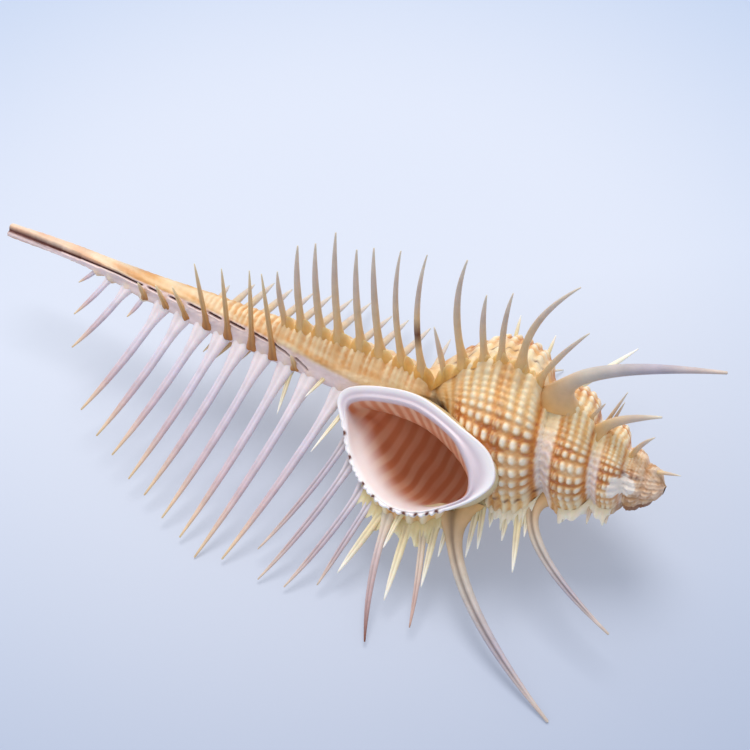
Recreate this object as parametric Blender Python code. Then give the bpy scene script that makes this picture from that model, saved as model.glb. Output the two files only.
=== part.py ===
# Venus comb murex shell: one solid, resting on the tips of its spines with the aperture up.
#
# A place on the shell is given in millimetres and degrees: a station along the shell's own axis,
# from the worn apex to the tip of the canal, an azimuth around that axis, and a reach out from it.
# A ridge with spines, a varix, stands at each third of a turn of the spiral. Growth is counted in
# degrees back from the last varix, which stands beside the outer lip.
import math

import bmesh
import bpy
import numpy as np
from mathutils import Matrix, Vector

MM = 0.001

# Driving dimensions
SHELL_LENGTH = 130.0
LIP_AZIMUTH = 207.0
LIP_PAST_VARIX = 10.0
VARIX_STEP = 120.0
VARIX_RISE = 0.12
VARIX_WIDTH = 9.0
WHORLS = 6

# Course of the spiral: turns back from the lip, station of the suture, reach of the whorl and
# its length along the axis, as the scale of the outline below
WHORL_COURSE = ((0.0, 29.7, 19.6, 19.6), (0.5, 22.9, 14.6, 16.4), (1.0, 18.0, 12.6, 13.3),
                (1.75, 11.9, 10.0, 9.8), (2.75, 6.6, 7.2, 6.5), (3.75, 3.2, 4.8, 4.2),
                (6.0, 0.4, 2.6, 2.2))
WHORL_OUTLINE = ((-0.34, 0.0), (-0.19, 0.26), (-0.06, 0.47), (0.0, 0.57), (0.066, 0.71),
                 (0.168, 0.88), (0.32, 0.97), (0.5, 1.0), (0.68, 0.965), (0.83, 0.87),
                 (0.985, 0.73), (1.11, 0.58), (1.24, 0.4), (1.37, 0.22), (1.55, 0.0))

# The worn apex leans a little to one side of the axis, the canal to the other: station, lean
LEAN_AZIMUTH = 215.0
LEAN = ((0.0, 0.4), (4.0, 0.9), (10.0, 0.4), (20.0, 0.0), (88.0, 0.0), (104.0, -0.4),
        (116.0, -0.7), (130.0, -0.35))

# Canal: station, reach. Each comb stands on a low ridge, which ends toward the canal's tip
CANAL_OUTLINE = ((38.0, 0.0), (44.0, 3.4), (52.0, 4.4), (60.0, 4.2), (70.0, 3.6), (80.0, 3.1),
                 (88.0, 2.8), (95.0, 2.3), (103.0, 1.9), (112.0, 1.6), (130.0, 1.15))
COMB_ENDS = (109.0, 92.0, 73.0)
COMB_RIDGE = 0.8
COMB_RIDGE_WIDTH = 20.0
COMB_RIDGE_FADE = 8.0

# Aperture: outline of the rim over the shell, seen along MOUTH_FACING, as station and across
MOUTH_FACING = 126.0
MOUTH_RIM = ((24.2, 9.0), (26.7, 13.3), (31.2, 16.9), (35.4, 19.3), (40.2, 20.1), (44.4, 19.3),
             (48.2, 17.2), (51.4, 14.2), (54.1, 10.0), (56.4, 6.4), (54.9, 3.6), (48.7, 1.4),
             (41.0, 0.6), (32.3, 2.8), (26.5, 5.0))
RIM_HEIGHT = 23.5
RIM_FALL_ALONG = 0.296
RIM_FALL_ACROSS = 0.246
RIM_DIP = 0.012
RIM_DIP_STATION = 36.0
RIM_BREADTH = 1.5
RIM_DEPTH = 1.5
MOUTH_ROOT_DEPTH = 7.0
MOUTH_ROOT_SCALE = 0.8

# Inside of the last whorl behind the rim: its section at the lip, as station and reach, and how
# far back it goes in degrees of growth
TUNNEL_SECTION = ((30.5, 13.2), (32.6, 15.8), (36.0, 17.5), (39.5, 17.9), (43.0, 17.0),
                  (46.0, 14.9), (49.0, 11.9), (51.6, 9.0), (53.6, 7.6), (53.8, 6.4), (51.5, 5.8),
                  (47.5, 5.4), (42.5, 5.6), (37.0, 7.4), (32.5, 10.2))
TUNNEL_GROWTH = (12.0, 35.0, 60.0, 85.0)

# Slit of the canal: station, azimuth, width
SLIT_LINE = ((55.0, 172.0, 1.6), (61.0, 168.0, 0.7), (67.5, 158.0, 0.7), (77.5, 143.0, 0.7),
             (90.0, 137.0, 0.7), (103.0, 130.0, 0.7), (112.0, 120.0, 1.0), (131.0, 114.0, 1.3))
SLIT_DEPTH = 1.5

# Combs along the canal: station of the base, station of the tip, reach of the tip
LAST_COMB = ((109.6, 112.3, 4.1), (106.7, 110.4, 9.8), (102.8, 107.9, 15.5), (99.2, 100.6, 6.7),
             (95.0, 101.0, 25.2), (90.6, 96.1, 28.4), (86.2, 91.8, 30.4), (82.2, 87.0, 33.1),
             (78.1, 83.0, 34.6), (73.5, 78.2, 37.0), (68.8, 73.7, 38.8), (63.9, 69.7, 40.9),
             (57.8, 65.0, 39.3))
DORSAL_COMB = ((87.0, 90.7, 14.9), (84.5, 88.2, 20.3), (82.0, 86.3, 24.8), (78.8, 82.6, 25.3),
               (75.4, 79.1, 27.4), (72.4, 76.3, 30.2), (69.1, 72.9, 32.2), (65.8, 69.7, 33.7),
               (60.9, 63.9, 30.9), (57.4, 60.9, 32.2), (53.0, 56.3, 32.4))
LEFT_COMB = ((70.5, 72.0, 16.1), (67.4, 67.8, 24.0), (63.6, 64.4, 26.0), (60.1, 60.6, 30.1),
             (55.8, 56.8, 28.0), (52.1, 53.7, 29.8))
COMB_GIRTH = 1.35
COMB_BOW = -0.6
LEFT_COMB_BOW = 0.6

# Spines of the whorls: station of the base, station and reach of the tip, girth, and bow toward
# the canal's tip. The two widest of a varix sit on the shoulder of its whorl
LAST_ROW = ((52.8, 59.8, 35.3, 1.15, -0.8), (50.4, 57.6, 40.0, 1.2, -0.8),
            (46.9, 52.8, 39.4, 1.2, -0.6), (44.6, 47.6, 36.9, 1.1, 0.0),
            (42.0, 45.2, 33.7, 0.95, 0.0),
            (37.4, 35.9, 34.8, 0.95, 0.0), (35.2, 30.1, 37.2, 1.0, -0.3),
            (33.1, 31.0, 30.4, 0.8, 0.0), (31.5, 30.4, 24.7, 0.7, 0.0),
            (28.1, 26.1, 23.0, 0.75, 0.0), (27.2, 24.8, 21.0, 0.7, 0.0))
LAST_SHOULDER = (31.0, 3.2, 42.1, 2.1, 6.5)
LEFT_ROW = ((47.8, 48.9, 31.3, 1.15, 1.3), (44.0, 44.3, 32.5, 1.15, 1.6),
            (40.0, 42.6, 17.0, 1.1, 0.0), (36.6, 37.4, 34.5, 1.3, 1.7),
            (33.1, 33.8, 28.5, 1.2, 0.6), (30.3, 29.4, 31.0, 1.1, 0.6),
            (26.8, 18.7, 37.3, 1.3, 2.5), (24.0, 16.4, 28.4, 1.1, 0.6),
            (19.8, -5.5, 30.7, 2.1, 7.2))
DORSAL_ROW = ((46.2, 51.4, 30.7, 1.0, 0.0), (43.0, 47.0, 34.6, 1.0, 0.0),
              (38.6, 40.8, 32.0, 1.0, 0.0), (35.0, 30.6, 37.0, 1.15, 1.5),
              (31.5, 30.2, 27.0, 0.9, 0.0), (27.0, 22.0, 29.0, 1.0, 1.0))
BEFORE_ROW = ((25.2, 24.4, 16.9, 0.6, 0.0), (22.7, 21.6, 18.2, 0.65, 0.0),
              (21.0, 17.9, 22.3, 0.8, 0.0), (19.8, 18.4, 16.2, 0.6, 0.0),
              (18.2, -0.4, 25.5, 1.7, 6.8))
EARLY_ROWS = ((87.0, ((12.6, 2.9, 16.0, 1.5, 2.3), (14.5, 12.2, 14.3, 0.6, 0.0),
                      (6.6, 3.4, 10.8, 0.8, 0.6), (3.0, -1.9, 4.2, 0.6, 0.3))),
              (75.0, ((13.0, 9.8, 15.4, 0.55, 0.0), (11.8, 9.9, 13.3, 0.5, 0.0))),
              (205.0, ((14.3, 13.5, 11.6, 0.8, 0.0), (10.5, 9.7, 10.4, 0.8, 0.0),
                       (7.6, 6.8, 9.2, 0.7, 0.0))),
              (327.0, ((19.0, 17.8, 16.5, 0.7, 0.0), (16.5, 12.6, 18.0, 0.8, 0.0),
                       (9.5, 7.5, 11.5, 0.7, 0.0))))

# Spines that leave their row: azimuths of base and tip, then the same five numbers
LOOSE_SPINES = ((206.0, 205.4, 40.9, 35.8, 42.3, 1.15, 1.0),
                (332.0, 345.0, 26.0, 17.4, 33.7, 1.2, 0.0),
                (202.0, 202.0, 38.7, 39.0, 27.1, 0.8, 0.0),
                (192.0, 192.0, 54.2, 56.7, 17.6, 0.7, 0.0),
                (190.0, 190.0, 60.9, 62.4, 8.9, 0.6, 0.0),
                (207.0, 210.0, 67.8, 67.0, 12.7, 0.7, 0.0),
                (40.0, 40.0, 32.3, 32.8, 18.1, 0.55, 0.0),
                (40.0, 40.0, 26.2, 26.0, 17.0, 0.55, 0.0))

# Thin spines beside a comb, which stand over the slit: station of the base, then station,
# azimuth and reach of the tip
LAST_SECONDS = ((98.8, 99.1, 128.0, 5.0), (94.1, 95.6, 120.0, 5.2), (89.6, 92.4, 112.0, 5.6),
                (85.2, 87.2, 97.0, 13.2), (80.8, 81.5, 97.0, 14.9), (75.9, 75.6, 97.0, 17.6),
                (71.4, 73.2, 97.0, 18.0), (67.0, 67.1, 150.0, 5.6))
DORSAL_SECONDS = ((82.0, 85.3, 225.0, 7.5), (79.0, 83.0, 225.0, 8.2), (75.5, 79.0, 225.0, 7.9))
SECOND_OFFSET = 8.0
SECOND_GIRTH = 0.6
STOUT_GIRTH = 0.8
ROOT_DEPTH = 1.0


def smooth_curve(points, where):
    """Value at `where` on a smooth curve through points given in rising order."""
    xs, ys = np.array(points, dtype=float).T
    slopes = np.gradient(ys, xs)
    x = np.clip(where, xs[0], xs[-1])
    i = np.clip(np.searchsorted(xs, x) - 1, 0, len(xs) - 2)
    span = xs[i + 1] - xs[i]
    t = (x - xs[i]) / span
    start = (1 + 2 * t) * (1 - t) ** 2 * ys[i] + t * (1 - t) ** 2 * span * slopes[i]
    end = t * t * (3 - 2 * t) * ys[i + 1] + t * t * (t - 1) * span * slopes[i + 1]
    return start + end


def closed_curve(points, count):
    """Points spaced evenly by index on a smooth closed curve through `points`."""
    corners = np.array(points, dtype=float)
    number = len(corners)
    places = np.arange(count) * number / count
    i = places.astype(int)
    t = (places - i)[:, None]
    before, first, second, after = (corners[(i + shift) % number] for shift in (-1, 0, 1, 2))
    return 0.5 * (2 * first + (second - before) * t
                  + (2 * before - 5 * first + 4 * second - after) * t ** 2
                  + (3 * first - before - 3 * second + after) * t ** 3)


def place(station, azimuth, reach):
    """Point with the apex end of the shell's axis along +X, azimuth 0 along +Y and 90 along +Z."""
    angle = np.radians(azimuth)
    return np.stack(np.broadcast_arrays(-np.asarray(station, dtype=float),
                                        reach * np.cos(angle), reach * np.sin(angle)), -1)


def whorl_size(back):
    """Station of the suture, reach and length of the whorl, `back` turns before the lip."""
    return [smooth_curve([(row[0], row[column]) for row in WHORL_COURSE], back)
            for column in (1, 2, 3)]


def shell_radius(station, azimuth):
    """Reach of the outer surface, without spines and rim."""
    station, azimuth = np.broadcast_arrays(np.asarray(station, float), np.asarray(azimuth, float))
    growth = (azimuth - LIP_AZIMUTH + LIP_PAST_VARIX) % 360.0 - LIP_PAST_VARIX
    off_varix = (growth + VARIX_STEP / 2) % VARIX_STEP - VARIX_STEP / 2
    comb_end = np.choose(np.rint(growth / VARIX_STEP).astype(int) % 3, COMB_ENDS)
    comb = np.clip((comb_end - station) / COMB_RIDGE_FADE, 0.0, 1.0)
    radius = smooth_curve(CANAL_OUTLINE, station)
    radius = radius + COMB_RIDGE * comb * np.exp(-(off_varix / COMB_RIDGE_WIDTH) ** 2)
    ridge = 1 + VARIX_RISE * np.exp(-(off_varix / VARIX_WIDTH) ** 2)
    for turn in range(WHORLS):
        suture, reach, length = whorl_size(turn + growth / 360.0)
        whorl = reach * smooth_curve(WHORL_OUTLINE, (station - suture) / length)
        radius = np.maximum(radius, whorl * ridge)
    return radius + smooth_curve(LEAN, station) * np.cos(np.radians(azimuth - LEAN_AZIMUTH))


def loft(name, rings, first_cap, last_cap):
    """Closed solid through rings of equal length, with a point beyond each end ring."""
    count = len(rings[0])
    vertices = [tuple(point * MM) for ring in rings for point in ring]
    faces = []
    for r in range(len(rings) - 1):
        for i in range(count):
            j = (i + 1) % count
            faces.append((r * count + i, r * count + j, (r + 1) * count + j, (r + 1) * count + i))
    for cap, start in ((first_cap, 0), (last_cap, (len(rings) - 1) * count)):
        vertices.append(tuple(np.asarray(cap) * MM))
        for i in range(count):
            faces.append((len(vertices) - 1, start + i, start + (i + 1) % count))
    mesh = bpy.data.meshes.new(name)
    mesh.from_pydata(vertices, [], faces)
    bm = bmesh.new()
    bm.from_mesh(mesh)
    bmesh.ops.recalc_face_normals(bm, faces=bm.faces)
    bmesh.ops.triangulate(bm, faces=bm.faces)
    bm.to_mesh(mesh)
    bm.free()
    return bpy.data.objects.new(name, mesh)


# Whorls and canal

# Azimuths of the corners of each ring, from the varix that starts a third of a turn
RING_OFFSETS = (-18.0, -9.9, 0.6, 9.0, 18.0, 32.0, 47.0, 62.0, 77.0, 90.0)
BODY_START = 0.4
BODY_RATIO = 1.08
BODY_SHIFT = 5.0
BODY_END = 62.0
CANAL_STATIONS = (66.0, 72.0, 79.0, 86.0, 93.0, 100.0, 108.0, 118.0, 129.6)


def build_whorls():
    stations = []
    station = BODY_START
    while station < BODY_END:
        stations.append(station)
        station = (station + BODY_SHIFT) * BODY_RATIO - BODY_SHIFT
    stations.extend(CANAL_STATIONS)
    azimuths = np.array([LIP_AZIMUTH + VARIX_STEP * varix + offset
                         for varix in range(3) for offset in RING_OFFSETS])
    rings = [place(station, azimuths, shell_radius(station, azimuths)) for station in stations]
    return loft("shell", rings, place(-0.2, 0, 0), place(SHELL_LENGTH, 0, 0))


# Aperture

MOUTH_SIDES = 30
CUT_OVER = 4.0


def mouth_points(outline, depth=0.0):
    """Points of an outline of the mouth, `depth` below the plane of its rim."""
    station, across = outline.T
    dip = RIM_DIP * np.maximum(0.0, RIM_DIP_STATION - station) ** 2
    out = RIM_HEIGHT - RIM_FALL_ALONG * station - RIM_FALL_ACROSS * across - dip - depth
    azimuth = MOUTH_FACING + np.degrees(np.arctan2(across, out))
    return place(station, azimuth, np.hypot(across, out))


def shrunk(outline, breadth):
    """Outline moved in by `breadth` along its own normals."""
    ahead = np.roll(outline, -1, axis=0) - np.roll(outline, 1, axis=0)
    normal = np.stack((ahead[:, 1], -ahead[:, 0]), -1)
    normal /= np.linalg.norm(normal, axis=1)[:, None]
    inward = np.sign(np.sum(normal * (outline.mean(axis=0) - outline)))
    return outline + inward * breadth * normal


def build_mouth():
    rim = closed_curve(MOUTH_RIM, MOUTH_SIDES)
    root = rim.mean(axis=0) + (rim - rim.mean(axis=0)) * MOUTH_ROOT_SCALE
    rings = [mouth_points(rim), mouth_points(rim, RIM_DEPTH), mouth_points(root, MOUTH_ROOT_DEPTH)]
    centre = rim.mean(axis=0)[None, :]
    return loft("mouth", rings, mouth_points(centre)[0], mouth_points(centre, MOUTH_ROOT_DEPTH)[0])


def build_mouth_cutter():
    rim = closed_curve(MOUTH_RIM, MOUTH_SIDES)
    hole = shrunk(rim, RIM_BREADTH)
    station, reach = closed_curve(TUNNEL_SECTION, MOUTH_SIDES).T
    rings = [mouth_points(hole, -CUT_OVER), mouth_points(hole, 0.5)]
    lip = whorl_size(0.0)
    for growth in TUNNEL_GROWTH:
        here = whorl_size(growth / 360.0)
        rings.append(place(here[0] + (station - lip[0]) * here[2] / lip[2],
                           LIP_AZIMUTH + growth, reach * here[1] / lip[1]))
    return loft("mouth_cutter", rings, rings[0].mean(axis=0), rings[-1].mean(axis=0))


def build_slit_cutter():
    rings = []
    for station, azimuth, width in SLIT_LINE:
        surface = float(shell_radius(station, azimuth))
        top = surface + SLIT_DEPTH
        bottom = max(0.15, surface - SLIT_DEPTH)
        angle = math.radians(azimuth)
        out = np.array((0.0, math.cos(angle), math.sin(angle)))
        side = np.array((0.0, -math.sin(angle), math.cos(angle))) * width / 2
        start = np.array((-station, 0.0, 0.0))
        rings.append(np.array((start + out * top + side, start + out * bottom + side * 0.6,
                               start + out * bottom - side * 0.6, start + out * top - side)))
    return loft("slit_cutter", rings, rings[0].mean(axis=0), rings[-1].mean(axis=0))


# Spines: each is a list of points with a thickness

TAPER = ((0.0, 1.0), (0.14, 0.7), (0.5, 0.54), (0.8, 0.35), (1.0, 0.12))
SHORT_STEPS = (0.0, 0.45, 1.0)
MIDDLE_STEPS = (0.0, 0.14, 0.58, 1.0)
LONG_STEPS = (0.0, 0.1, 0.3, 0.53, 0.77, 1.0)
SHORT_BELOW = 7.0
LONG_ABOVE = 31.0


def spine_line(base, tip, girth, bow=0.0):
    """Spine that bows toward the canal's tip by `bow` at its middle."""
    length = np.linalg.norm(tip - base)
    steps = SHORT_STEPS if length < SHORT_BELOW else MIDDLE_STEPS
    if length > LONG_ABOVE:
        steps = LONG_STEPS
    points = []
    for step in steps:
        point = base + (tip - base) * step + np.array((-4.0 * bow * step * (1.0 - step), 0.0, 0.0))
        points.append((point, girth * float(smooth_curve(TAPER, step))))
    return points


def rooted_spine(azimuths, base_station, tip_station, reach, girth, bow):
    """Spine from inside the shell's wall to its tip, at the azimuths of its two ends."""
    root = float(shell_radius(base_station, azimuths[0])) - ROOT_DEPTH
    return spine_line(place(base_station, azimuths[0], root),
                      place(tip_station, azimuths[1], reach), girth, bow)


def row_spines(azimuth, row):
    return [rooted_spine((azimuth, azimuth), *spine) for spine in row]


def comb_row(comb, bow):
    """A comb in the form of a row: its spines are slimmer where they are short."""
    return [(base, tip, reach, COMB_GIRTH * min(1.0, 0.45 + reach / 40.0),
             bow * min(1.0, reach / 20.0)) for base, tip, reach in comb]


def second_spines(azimuth, seconds):
    spines = []
    for base, tip, tip_azimuth, reach in seconds:
        aside = azimuth - math.copysign(SECOND_OFFSET, azimuth - tip_azimuth)
        root = float(shell_radius(base, aside)) - 0.3
        spines.append(spine_line(place(base, aside, root), place(tip, tip_azimuth, reach),
                                 SECOND_GIRTH))
    return spines


def all_spines():
    dorsal = LIP_AZIMUTH + VARIX_STEP
    left = LIP_AZIMUTH + 2 * VARIX_STEP
    spines = row_spines(LIP_AZIMUTH, comb_row(LAST_COMB, COMB_BOW))
    spines += row_spines(LIP_AZIMUTH, LAST_ROW + (LAST_SHOULDER,) + BEFORE_ROW)
    spines += row_spines(dorsal, comb_row(DORSAL_COMB, 0.0))
    spines += row_spines(dorsal, DORSAL_ROW)
    spines += row_spines(left, comb_row(LEFT_COMB, LEFT_COMB_BOW))
    spines += row_spines(left, LEFT_ROW)
    for azimuth, row in EARLY_ROWS:
        spines += row_spines(azimuth, row)
    for spine in LOOSE_SPINES:
        spines.append(rooted_spine(spine[:2], *spine[2:]))
    spines += second_spines(LIP_AZIMUTH, LAST_SECONDS)
    spines += second_spines(dorsal, DORSAL_SECONDS)
    return spines


def build_spines(name, spines, rounding):
    """Spines as one curve with tapering splines, made a mesh."""
    curve = bpy.data.curves.new(name, "CURVE")
    curve.dimensions = "3D"
    curve.bevel_depth = MM
    curve.bevel_resolution = rounding
    curve.use_fill_caps = True
    for points in spines:
        spline = curve.splines.new("POLY")
        spline.points.add(len(points) - 1)
        for target, (point, radius) in zip(spline.points, points):
            target.co = (*(point * MM), 1.0)
            target.radius = radius
    guide = bpy.data.objects.new(name + "_curves", curve)
    bpy.context.scene.collection.objects.link(guide)
    depsgraph = bpy.context.evaluated_depsgraph_get()
    mesh = bpy.data.meshes.new_from_object(guide.evaluated_get(depsgraph))
    bpy.data.objects.remove(guide)
    bm = bmesh.new()
    bm.from_mesh(mesh)
    bmesh.ops.remove_doubles(bm, verts=bm.verts, dist=0.000001)
    bmesh.ops.recalc_face_normals(bm, faces=bm.faces)
    bm.to_mesh(mesh)
    bm.free()
    return bpy.data.objects.new(name, mesh)


# Resting place: the shell stands on three spine tips

def rest_matrix():
    """Turn that brings three tips level: a long comb spine, the shoulder's and a dorsal one."""
    comb_foot = max(LAST_COMB, key=lambda spine: spine[2])
    dorsal_foot = max(DORSAL_ROW, key=lambda spine: spine[2])
    feet = [Vector(place(comb_foot[1], LIP_AZIMUTH, comb_foot[2])),
            Vector(place(LAST_SHOULDER[1], LIP_AZIMUTH, LAST_SHOULDER[2])),
            Vector(place(dorsal_foot[1], LIP_AZIMUTH + VARIX_STEP, dorsal_foot[2]))]
    up = (feet[1] - feet[0]).cross(feet[2] - feet[0]).normalized()
    if up.z < 0:
        up = -up
    ahead = Vector((1.0, 0.0, 0.0))
    ahead = (ahead - up * ahead.dot(up)).normalized()
    return Matrix((ahead, up.cross(ahead), up)).to_4x4()


def add_boolean(target, cutter, operation):
    modifier = target.modifiers.new(cutter.name, "BOOLEAN")
    modifier.operation = operation
    modifier.solver = "EXACT"
    modifier.use_self = operation == "UNION"
    modifier.object = cutter


def shell_material():
    material = bpy.data.materials.new("shell")
    material.use_nodes = True
    surface = material.node_tree.nodes["Principled BSDF"]
    surface.inputs["Base Color"].default_value = (0.72, 0.52, 0.33, 1.0)
    surface.inputs["Roughness"].default_value = 0.45
    surface.inputs["Metallic"].default_value = 0.0
    return material


def main():
    for item in list(bpy.data.objects):
        bpy.data.objects.remove(item)
    scene = bpy.context.scene
    parts = bpy.data.collections.new("venus_comb_murex")
    cutters = bpy.data.collections.new("cutters")
    scene.collection.children.link(parts)
    scene.collection.children.link(cutters)

    spines = all_spines()
    stout = [spine for spine in spines if spine[0][1] >= STOUT_GIRTH]
    thin = [spine for spine in spines if spine[0][1] < STOUT_GIRTH]
    turn = rest_matrix()
    shell = build_whorls()
    parts.objects.link(shell)
    for helper, operation in ((build_mouth(), "UNION"), (build_slit_cutter(), "DIFFERENCE"),
                              (build_spines("spines", stout, 1), "UNION"),
                              (build_spines("thin_spines", thin, 0), "UNION"),
                              (build_mouth_cutter(), "DIFFERENCE")):
        cutters.objects.link(helper)
        helper.hide_render = True
        helper.display_type = "WIRE"
        helper.data.transform(turn)
        add_boolean(shell, helper, operation)
    shell.data.transform(turn)
    shell.data.materials.append(shell_material())

    bpy.context.view_layer.update()
    depsgraph = bpy.context.evaluated_depsgraph_get()
    corners = np.array([corner[:] for corner in shell.evaluated_get(depsgraph).bound_box])
    low, high = corners.min(axis=0), corners.max(axis=0)
    offset = Vector((-(low[0] + high[0]) / 2, -(low[1] + high[1]) / 2, -low[2]))
    shell.location = offset
    for helper in cutters.objects:
        helper.location = offset


main()
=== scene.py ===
import math
from types import SimpleNamespace

import bpy
import numpy as np
from mathutils import Euler, Matrix, Vector


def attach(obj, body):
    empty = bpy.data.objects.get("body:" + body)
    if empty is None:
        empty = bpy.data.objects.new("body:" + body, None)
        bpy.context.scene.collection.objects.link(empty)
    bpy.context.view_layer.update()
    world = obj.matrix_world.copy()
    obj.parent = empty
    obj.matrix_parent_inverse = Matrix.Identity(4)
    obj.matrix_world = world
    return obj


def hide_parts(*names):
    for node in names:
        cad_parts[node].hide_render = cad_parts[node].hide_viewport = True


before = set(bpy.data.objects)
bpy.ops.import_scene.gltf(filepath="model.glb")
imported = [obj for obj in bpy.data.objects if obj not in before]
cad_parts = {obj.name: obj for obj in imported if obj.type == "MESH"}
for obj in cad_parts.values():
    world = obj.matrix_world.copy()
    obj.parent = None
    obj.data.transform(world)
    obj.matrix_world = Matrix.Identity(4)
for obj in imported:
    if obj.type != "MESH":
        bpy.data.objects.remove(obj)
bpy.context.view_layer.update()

MM = 0.001

# Dimensions shared with the solid, most of them read off the photograph through its camera
SHELL_LENGTH = 130.0
LIP_AZIMUTH = 207.0
LIP_PAST_VARIX = 10.0
VARIX_STEP = 120.0
VARIX_RISE = 0.12
VARIX_WIDTH = 9.0
WHORLS = 6
WHORL_COURSE = ((0.0, 29.7, 19.6, 19.6), (0.5, 22.9, 14.6, 16.4), (1.0, 18.0, 12.6, 13.3),
                (1.75, 11.9, 10.0, 9.8), (2.75, 6.6, 7.2, 6.5), (3.75, 3.2, 4.8, 4.2),
                (6.0, 0.4, 2.6, 2.2))
WHORL_OUTLINE = ((-0.34, 0.0), (-0.19, 0.26), (-0.06, 0.47), (0.0, 0.57), (0.066, 0.71),
                 (0.168, 0.88), (0.32, 0.97), (0.5, 1.0), (0.68, 0.965), (0.83, 0.87),
                 (0.985, 0.73), (1.11, 0.58), (1.24, 0.4), (1.37, 0.22), (1.55, 0.0))
LEAN_AZIMUTH = 215.0
LEAN = ((0.0, 0.4), (4.0, 0.9), (10.0, 0.4), (20.0, 0.0), (88.0, 0.0), (104.0, -0.4),
        (116.0, -0.7), (130.0, -0.35))
CANAL_OUTLINE = ((38.0, 0.0), (44.0, 3.4), (52.0, 4.4), (60.0, 4.2), (70.0, 3.6), (80.0, 3.1),
                 (88.0, 2.8), (95.0, 2.3), (103.0, 1.9), (112.0, 1.6), (130.0, 1.15))
COMB_ENDS = (109.0, 92.0, 73.0)
COMB_RIDGE = 0.8
COMB_RIDGE_WIDTH = 20.0
COMB_RIDGE_FADE = 8.0
MOUTH_FACING = 126.0
MOUTH_RIM = ((24.2, 9.0), (26.7, 13.3), (31.2, 16.9), (35.4, 19.3), (40.2, 20.1), (44.4, 19.3),
             (48.2, 17.2), (51.4, 14.2), (54.1, 10.0), (56.4, 6.4), (54.9, 3.6), (48.7, 1.4),
             (41.0, 0.6), (32.3, 2.8), (26.5, 5.0))
MOUTH_INNER = ((28.6, 10.2), (28.3, 13.0), (31.6, 16.0), (35.8, 18.4), (40.2, 19.2), (44.1, 18.4),
               (47.6, 16.4), (50.6, 13.6), (53.0, 9.7), (54.2, 7.0), (53.0, 5.4),
               (48.7, 3.9), (41.5, 3.0), (34.0, 4.9), (30.2, 7.8))
RIM_HEIGHT = 23.5
RIM_FALL_ALONG = 0.296
RIM_FALL_ACROSS = 0.246
RIM_DIP = 0.012
RIM_DIP_STATION = 36.0
TUNNEL_SECTION = ((30.5, 13.2), (32.6, 15.8), (36.0, 17.5), (39.5, 17.9), (43.0, 17.0),
                  (46.0, 14.9), (49.0, 11.9), (51.6, 9.0), (53.6, 7.6), (53.8, 6.4), (51.5, 5.8),
                  (47.5, 5.4), (42.5, 5.6), (37.0, 7.4), (32.5, 10.2))
TUNNEL_GROWTH = (12.0, 35.0, 60.0, 85.0, 115.0, 150.0)
SLIT_LINE = ((55.0, 172.0, 1.6), (61.0, 168.0, 0.7), (67.5, 158.0, 0.7), (77.5, 143.0, 0.7),
             (90.0, 137.0, 0.7), (103.0, 130.0, 0.7), (112.0, 120.0, 1.0), (131.0, 114.0, 1.3))
LAST_COMB = ((109.6, 112.3, 4.1), (106.7, 110.4, 9.8), (102.8, 107.9, 15.5), (99.2, 100.6, 6.7),
             (95.0, 101.0, 25.2), (90.6, 96.1, 28.4), (86.2, 91.8, 30.4), (82.2, 87.0, 33.1),
             (78.1, 83.0, 34.6), (73.5, 78.2, 37.0), (68.8, 73.7, 38.8), (63.9, 69.7, 40.9),
             (57.8, 65.0, 39.3))
DORSAL_COMB = ((87.0, 90.7, 14.9), (84.5, 88.2, 20.3), (82.0, 86.3, 24.8), (78.8, 82.6, 25.3),
               (75.4, 79.1, 27.4), (72.4, 76.3, 30.2), (69.1, 72.9, 32.2), (65.8, 69.7, 33.7),
               (60.9, 63.9, 30.9), (57.4, 60.9, 32.2), (53.0, 56.3, 32.4))
LEFT_COMB = ((70.5, 72.0, 16.1), (67.4, 67.8, 24.0), (63.6, 64.4, 26.0), (60.1, 60.6, 30.1),
             (55.8, 56.8, 28.0), (52.1, 53.7, 29.8))
COMB_GIRTH = 1.35
COMB_BOW = -0.6
LEFT_COMB_BOW = 0.6
LAST_ROW = ((52.8, 59.8, 35.3, 1.15, -0.8), (50.4, 57.6, 40.0, 1.2, -0.8),
            (46.9, 52.8, 39.4, 1.2, -0.6), (44.6, 47.6, 36.9, 1.1, 0.0),
            (42.0, 45.2, 33.7, 0.95, 0.0),
            (37.4, 35.9, 34.8, 0.95, 0.0), (35.2, 30.1, 37.2, 1.0, -0.3),
            (33.1, 31.0, 30.4, 0.8, 0.0), (31.5, 30.4, 24.7, 0.7, 0.0),
            (28.1, 26.1, 23.0, 0.75, 0.0), (27.2, 24.8, 21.0, 0.7, 0.0))
LAST_SHOULDER = (31.0, 3.2, 42.1, 2.1, 6.5)
LEFT_ROW = ((47.8, 48.9, 31.3, 1.15, 1.3), (44.0, 44.3, 32.5, 1.15, 1.6),
            (40.0, 42.6, 17.0, 1.1, 0.0), (36.6, 37.4, 34.5, 1.3, 1.7),
            (33.1, 33.8, 28.5, 1.2, 0.6), (30.3, 29.4, 31.0, 1.1, 0.6),
            (26.8, 18.7, 37.3, 1.3, 2.5), (24.0, 16.4, 28.4, 1.1, 0.6),
            (19.8, -5.5, 30.7, 2.1, 7.2))
DORSAL_ROW = ((46.2, 51.4, 30.7, 1.0, 0.0), (43.0, 47.0, 34.6, 1.0, 0.0),
              (38.6, 40.8, 32.0, 1.0, 0.0), (35.0, 30.6, 37.0, 1.15, 1.5),
              (31.5, 30.2, 27.0, 0.9, 0.0), (27.0, 22.0, 29.0, 1.0, 1.0))
BEFORE_ROW = ((25.2, 24.4, 16.9, 0.6, 0.0), (22.7, 21.6, 18.2, 0.65, 0.0),
              (21.0, 17.9, 22.3, 0.8, 0.0), (19.8, 18.4, 16.2, 0.6, 0.0),
              (18.2, -0.4, 25.5, 1.7, 6.8))
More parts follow.
